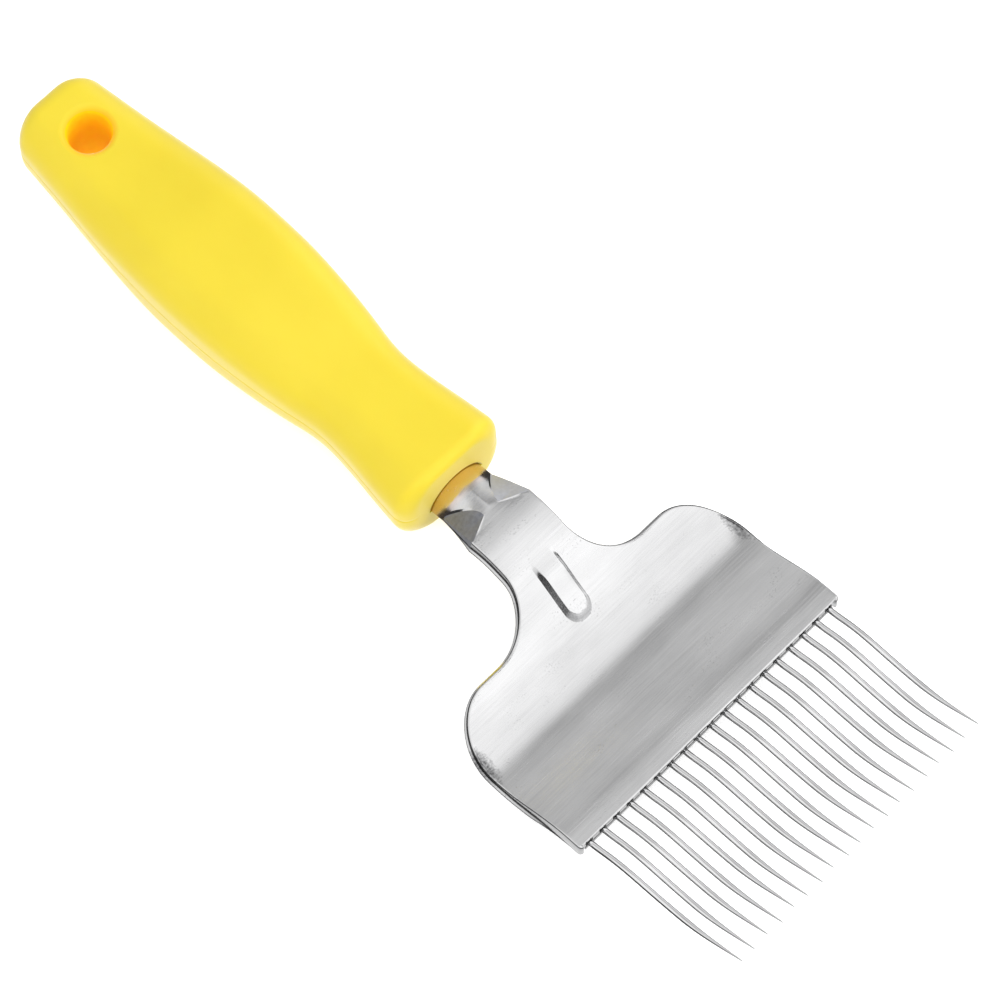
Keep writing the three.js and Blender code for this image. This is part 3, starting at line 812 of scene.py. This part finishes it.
def plate_half(station):
    """Outer line, lip and inner line of the right half of the plate at a station."""
    centre_x, *outline_point = station
    outer_rim, lip, inner_rim = rim_section(*outline_point)
    edge = np.array(outer_rim[0][:2])
    plan = [np.array((centre_x, value)) for value in RIB_YS]
    plan += [plan[-1] + (edge - plan[-1]) * t for t in FACET_FRACTIONS]
    outer, inner = [], []
    for px, py in plan:
        slope = math.atan(float(slope_of(head_top, px)))
        drop = front_round(px)
        base = float(head_top(px)) - pucker(px, py)
        outer.append((px, py, base + rib_rise(px, py, RIB_HALF_WIDTH) - drop))
        under = base + rib_rise(px, py, RIB_HOLLOW_HALF_WIDTH) + drop
        inner.append((px + SHEET * math.sin(slope) * (drop == 0), py, under - SHEET * math.cos(slope)))
    return outer + outer_rim, lip, inner + inner_rim


def arch_half(x):
    """The same lines for the arched tang inside the handle."""
    centre_z = tang_crown(x) - TANG_RADIUS
    shares = [ARCH_CREASE * y / CREASE_Y for y in RIB_YS]
    shares += [ARCH_CREASE + (ARCH_BEND - ARCH_CREASE) * t for t in FACET_FRACTIONS]
    shares += list(np.linspace(ARCH_BEND, 1, BEND_STEPS + FLARE_STEPS + 2))
    angles = [share * TANG_ANGLE for share in shares]
    within = TANG_RADIUS - SHEET
    outer = [(x, TANG_RADIUS * math.sin(a), centre_z + TANG_RADIUS * math.cos(a)) for a in angles]
    inner = [(x, within * math.sin(a), centre_z + within * math.cos(a)) for a in angles]
    lip = [tuple(p) for p in np.linspace(outer[-1], inner[-1], LIP_STEPS + 2)[1:-1]]
    return outer, lip, inner


def crimp_half(x, neck):
    """The same lines where the arch opens out into the flat neck, with a flat facet on each side."""
    arch = arch_half(x)
    opening = (x - CRIMP_START) / (CRIMP_END - CRIMP_START)
    narrowing = min((x - CRIMP_START) / (CRIMP_MIDDLE - CRIMP_START), 1)
    widening = max((x - CRIMP_MIDDLE) / (CRIMP_END - CRIMP_MIDDLE), 0)

    def blend(first, second, t):
        first, second = np.array(first, float), np.array(second, float)
        mixed = first + (second - first) * t
        mixed[..., 0] = x
        return mixed
    crease_line = len(RIB_YS) - 1
    facet_end = crease_line + FACET_STEPS
    ridge = np.array((x, CRIMP_RIDGE, float(head_top(CRIMP_MIDDLE))))
    if widening > 0:
        crease = blend(ridge, neck[0][crease_line], widening)
    else:
        crease = blend(arch[0][crease_line], ridge, math.sin(narrowing * math.pi / 2))
    crown = np.array((x, 0, tang_crown(x) if x < CRIMP_MIDDLE else float(head_top(x))))
    bulge = (1 - opening) * (1 - narrowing * CRIMP_FLATTENING)
    outer = []
    for fraction in np.array(RIB_YS) / CREASE_Y:
        straight = crown + (crease - crown) * fraction
        angle = math.asin(min(crease[1] / TANG_RADIUS, 1)) * fraction
        sag = TANG_RADIUS * (1 - math.cos(angle))
        round_point = np.array((x, TANG_RADIUS * math.sin(angle), crown[2] - sag))
        outer.append(straight + (round_point - straight) * bulge)
    outer[-1] = crease
    edge = blend(arch[0][facet_end], neck[0][facet_end], opening)
    outer += [crease + (edge - crease) * t for t in FACET_FRACTIONS]
    outer += [blend(a, b, opening) for a, b in zip(arch[0][facet_end:], neck[0][facet_end:])]
    lip = [blend(a, b, opening) for a, b in zip(arch[1], neck[1])]
    inner = [blend(a, b, opening) for a, b in zip(arch[2], neck[2])]
    section = np.array(outer)[:, 1:]
    along = np.gradient(section, axis=0)
    along /= np.maximum(np.linalg.norm(along, axis=1, keepdims=True), 1e-9)
    for k in range(1, facet_end):
        inner[k] = np.array((x, section[k, 0] + SHEET * along[k, 1], section[k, 1] - SHEET * along[k, 0]))
    inner[0] = np.array((x, 0, outer[0][2] - SHEET))
    return outer, lip, inner


def whole_ring(half):
    """Both halves of a section as one closed ring, starting at the middle of the top."""
    outer, lip, inner = ([np.array(p, float) for p in line] for line in half)
    right = outer + lip + inner[::-1]
    left = [p * (1, -1, 1) for p in right[1:-1]][::-1]
    return np.array(right + left)


def end_faces(line, lip):
    """Faces over the end of a ring: quads between its outer and inner line, and a face on each lip."""
    last_right = 2 * line + lip - 1
    count = 2 * last_right
    right = [(k, last_right - k, last_right - k - 1, k + 1) for k in range(line - 1)]
    right.append(tuple(range(line - 1, line + lip + 1))[::-1])

    def mirrored(i):
        return i if i in (0, last_right) else count - i
    left = [tuple(mirrored(i) for i in face)[::-1] for face in right]
    return right + left


def make_head_plate(steel):
    """Tang, crimp and plate as one pressed sheet."""
    plate = [plate_half(station) for station in outline_stations()]
    crimp_xs = np.linspace(CRIMP_START, CRIMP_END, 31)[1:-1]
    crimp = [crimp_half(x, plate[0]) for x in crimp_xs]
    tang_xs = (TANG_START, 75, *np.arange(TANG_DIP_START, CRIMP_START, 1.5), CRIMP_START)
    tang = [arch_half(x) for x in tang_xs]
    rings = [whole_ring(half) for half in tang + crimp + plate]
    count = len(rings[0])
    faces = loft_faces(len(rings), count)
    ends = end_faces(line=len(plate[0][0]), lip=len(plate[0][1]))
    last = (len(rings) - 1) * count
    faces += ends
    faces += [tuple(last + i for i in face)[::-1] for face in ends]
    head = new_object("head_pressing", np.concatenate(rings), faces, sharp_angle=24)
    dress(head, steel, "pressed_steel", "head_plate")
    head.data.materials.append(crimped_steel())
    for ring in range(len(tang) - 1, len(tang) + len(crimp)):
        for k in range(len(RIB_YS) - 1, len(RIB_YS) + FACET_STEPS + BEND_STEPS):
            head.data.polygons[ring * count + k].material_index = 1
            head.data.polygons[ring * count + count - 1 - k].material_index = 1


# ---- Tines --------------------------------------------------------------------------------------

def tine_height(x):
    """Height of a tine's middle: under the plate, then out in the open."""
    return np.where(x < HEAD_FRONT, head_top(x) - TINE_DEPTH, tine_free(x))


def tine_offset(i):
    """How far tine i lies from the middle of the head."""
    return (i - (len(TINE_NAMES) - 1) / 2) * TINE_PITCH


def varied(i, size, pace, start):
    """A small difference that changes from tine to tine in no plain order."""
    return size * math.sin(pace * i + start)


def smooth_along(xs, zs, blur=1.0, step=0.1):
    """Evens out the bend where the two stretches of a tine's height meet."""
    fine = np.arange(xs[0], xs[-1], step)
    return np.interp(xs, fine, blurred(np.interp(fine, xs, zs), step, blur))


def make_tine(i, material, sides=20):
    """One wire: its root under the plate, cranked level, and a slim point that curves up."""
    tip = TIP_X + varied(i, *LENGTH_CHANGE) + MEAN_LENGTH_CHANGE
    xs = np.concatenate([np.linspace(TINE_ROOT, HEAD_FRONT, 14),
                         np.linspace(HEAD_FRONT, TINE_MIDDLE, 34)[1:],
                         np.linspace(TINE_MIDDLE, tip, 44)[1:]])
    free = smoothstep(xs, HEAD_FRONT, tip)
    zs = smooth_along(xs, tine_height(xs) + varied(i, *LIFT) * free**2)
    toe = 1 + (TOE_IN - 1) * np.clip((xs - HEAD_FRONT) / (TIP_X - HEAD_FRONT), 0, 1)
    ys = tine_offset(i) * toe + varied(i, *DRIFT) * free
    taper = np.clip((xs - TAPER_START) / (tip - TAPER_START), 0, 1)
    radii = TINE_RADIUS + (TINE_TIP_RADIUS - TINE_RADIUS) * taper**TAPER_POWER
    path = np.stack([xs, ys, zs], axis=1)
    tangents = np.gradient(path, axis=0)
    tangents /= np.linalg.norm(tangents, axis=1, keepdims=True)
    angles = np.arange(sides) * 2 * math.pi / sides
    rings = []
    for point, tangent, radius in zip(path, tangents, radii):
        side = np.cross((0, 0, 1), tangent)
        side /= np.linalg.norm(side)
        up = np.cross(tangent, side)
        rings.append(point + radius * (np.cos(angles)[:, None] * side + np.sin(angles)[:, None] * up))
    rings.append(path[-1] + tangents[-1] * TIP_ROUND + (rings[-1] - path[-1]) * 0.5)
    name = TINE_NAMES[i]
    wire = loft_object(name.replace("tine_", "tine_wire_"), rings, sharp_angle=60)
    dress(wire, material, "tine_steel", name)


# ---- Clamp strip --------------------------------------------------------------------------------

def strip_top(x):
    """Height of the strip's upper face, just clear of the tines."""
    return float(head_top(x)) - TINE_DEPTH - TINE_RADIUS - CLEARANCE


def strip_section(y, height):
    """The strip's section at y, with its turned-up front edge standing up to a height."""
    xs = np.linspace(STRIP_START, WALL_BACK, 14)
    floor_z = strip_top(WALL_BACK)
    outline = [(x, strip_top(x)) for x in xs]
    outline += [(WALL_BACK, height - WALL_BACK_ROUND), (WALL_BACK + WALL_BACK_ROUND, height),
                (WALL_FRONT - WALL_FRONT_ROUND, height), (WALL_FRONT, height - WALL_FRONT_ROUND)]
    outline += [(WALL_FRONT + forwards, floor_z - down) for forwards, down in WALL_FOOT]
    outline += [(x, strip_top(x) - SHEET) for x in xs[::-1]]
    return np.array([(x, y, z) for x, z in outline])


def make_clamp_strip(steel):
    """The strip under the tine roots, its turned-up front edge notched round for each tine."""
    wall_top = float(head_top(HEAD_FRONT)) - CAD_SHEET - CLEARANCE
    notch_z = float(tine_height(NOTCH_X))
    half_notch = NOTCH_RADIUS + NOTCH_EDGE
    rings = [strip_section(-STRIP_HALF_WIDTH, wall_top)]
    for i in range(len(TINE_NAMES)):
        y = tine_offset(i)
        rings.append(strip_section(y - half_notch, wall_top))
        for a in np.linspace(math.pi, 2 * math.pi, 11):
            height = notch_z + NOTCH_RADIUS * math.sin(a) * NOTCH_ROUNDNESS
            rings.append(strip_section(y + NOTCH_RADIUS * math.cos(a), height))
        rings.append(strip_section(y + half_notch, wall_top))
    rings.append(strip_section(STRIP_HALF_WIDTH, wall_top))
    strip = loft_object("clamp_strip_pressing", rings, sharp_angle=30)
    dress(strip, steel, "pressed_steel", "tine_clamp_strip")


# ---- Stage, light and camera --------------------------------------------------------------------

def stage_object(name, mesh, paper, z=0.0):
    """A piece of the stage, which the steel doesn't mirror."""
    piece = bpy.data.objects.new(name, mesh)
    piece.location.z = z
    piece.visible_glossy = False
    piece.data.materials.append(paper)
    bpy.context.collection.objects.link(piece)
    return piece


def make_floor(paper):
    """A square of paper just under the fork."""
    bm = bmesh.new()
    bmesh.ops.create_grid(bm, x_segments=4, y_segments=4, size=FLOOR_HALF)
    mesh = bpy.data.meshes.new("floor")
    bm.to_mesh(mesh)
    bm.free()
    stage_object("floor", mesh, paper, -FLOOR_DROP)


def make_backdrop(paper, segments=64):
    """A pale wall all round, far behind the fork, which sweeps up from the floor."""
    turn = np.arange(segments) * 2 * math.pi / segments
    rings = []
    for a in np.linspace(0, math.pi / 2, 7):
        radius = BACKDROP_RADIUS - BACKDROP_HEIGHT * (1 - math.sin(a))
        z = BACKDROP_HEIGHT * (1 - math.cos(a))
        rings.append([(radius * math.cos(t), radius * math.sin(t), z) for t in turn])
    mesh = bpy.data.meshes.new("backdrop")
    mesh.from_pydata([point for ring in rings for point in ring], [], loft_faces(len(rings), segments))
    backdrop = stage_object("backdrop", mesh, paper)
    backdrop.visible_diffuse = False
    backdrop.visible_shadow = False


def make_world():
    """A white room: brightest past the tines, dull behind the handle, dark low in the near corner."""
    world = bpy.data.worlds.new("studio")
    bpy.context.scene.world = world
    world.use_nodes = True
    tree = world.node_tree
    tree.nodes.clear()
    output = tree.nodes.new("ShaderNodeOutputWorld")
    background = tree.nodes.new("ShaderNodeBackground")
    coordinates = tree.nodes.new("ShaderNodeTexCoord")
    split = tree.nodes.new("ShaderNodeSeparateXYZ")
    tree.links.new(coordinates.outputs["Generated"], split.inputs["Vector"])
    height = tree.nodes.new("ShaderNodeMapRange")
    height.inputs["From Min"].default_value = -1
    tree.links.new(split.outputs["Z"], height.inputs["Value"])

    def sky(stops):
        """Brightness by the height of the direction."""
        ramp = tree.nodes.new("ShaderNodeValToRGB")
        elements = ramp.color_ramp.elements
        while len(elements) < len(stops):
            elements.new(0.5)
        for element, (direction, value) in zip(elements, stops):
            element.position = (direction + 1) / 2
            element.color = (value, value, value, 1)
        tree.links.new(height.outputs["Result"], ramp.inputs["Fac"])
        return ramp.outputs["Color"]

    def turned_to(heading, low, high):
        """From 0 to 1 as the direction turns to a heading."""
        share = tree.nodes.new("ShaderNodeVectorMath")
        share.operation = "DOT_PRODUCT"
        share.inputs[1].default_value = heading
        tree.links.new(coordinates.outputs["Generated"], share.inputs[0])
        side = tree.nodes.new("ShaderNodeMapRange")
        side.interpolation_type = "SMOOTHSTEP"
        side.inputs["From Min"].default_value = low
        side.inputs["From Max"].default_value = high
        tree.links.new(share.outputs["Value"], side.inputs["Value"])
        return side.outputs["Result"]

    room = sky(HANDLE_SIDE_SKY)
    for heading, low, high, stops in ROOM:
        mix = tree.nodes.new("ShaderNodeMix")
        mix.data_type = "RGBA"
        tree.links.new(turned_to(heading, low, high), mix.inputs["Factor"])
        tree.links.new(room, mix.inputs["A"])
        tree.links.new(sky(stops), mix.inputs["B"])
        room = mix.outputs["Result"]
    tree.links.new(room, background.inputs["Color"])
    tree.links.new(background.outputs["Background"], output.inputs["Surface"])


def make_light(name, location, target, size, power):
    """A round soft light, which the steel doesn't mirror."""
    light = bpy.data.lights.new(name, "AREA")
    light.shape = "DISK"
    light.size = size
    light.energy = power
    holder = bpy.data.objects.new(name, light)
    holder.location = location
    direction = Vector(target) - Vector(location)
    holder.rotation_euler = direction.to_track_quat("-Z", "Y").to_euler()
    holder.visible_glossy = False
    bpy.context.collection.objects.link(holder)


def make_camera():
    """A long lens above the near corner of the head."""
    away = Vector((math.sin(CAMERA_AZIMUTH) * math.cos(CAMERA_ELEVATION),
                   -math.cos(CAMERA_AZIMUTH) * math.cos(CAMERA_ELEVATION), math.sin(CAMERA_ELEVATION)))
    data = bpy.data.cameras.new("camera")
    data.lens = CAMERA_LENS
    data.sensor_width = CAMERA_SENSOR
    data.clip_start, data.clip_end = 0.05, 20
    camera = bpy.data.objects.new("camera", data)
    turn = (-away).to_track_quat("-Z", "Y").to_matrix() @ Matrix.Rotation(CAMERA_ROLL, 3, "Z")
    place_at = (Vector(CAMERA_AIM) + away * CAMERA_DISTANCE) * MM
    camera.matrix_world = Matrix.Translation(place_at) @ turn.to_4x4()
    bpy.context.collection.objects.link(camera)
    bpy.context.scene.camera = camera


def main():
    steel = rolled_steel()
    wire = tine_steel()
    paper = floor_paper()
    make_handle()
    make_head_plate(steel)
    make_clamp_strip(steel)
    for i in range(len(TINE_NAMES)):
        make_tine(i, wire)
    make_floor(paper)
    make_backdrop(paper)
    make_world()
    for light in LIGHTS:
        make_light(*light)
    make_camera()
    bpy.context.scene.view_settings.view_transform = "Standard"


main()
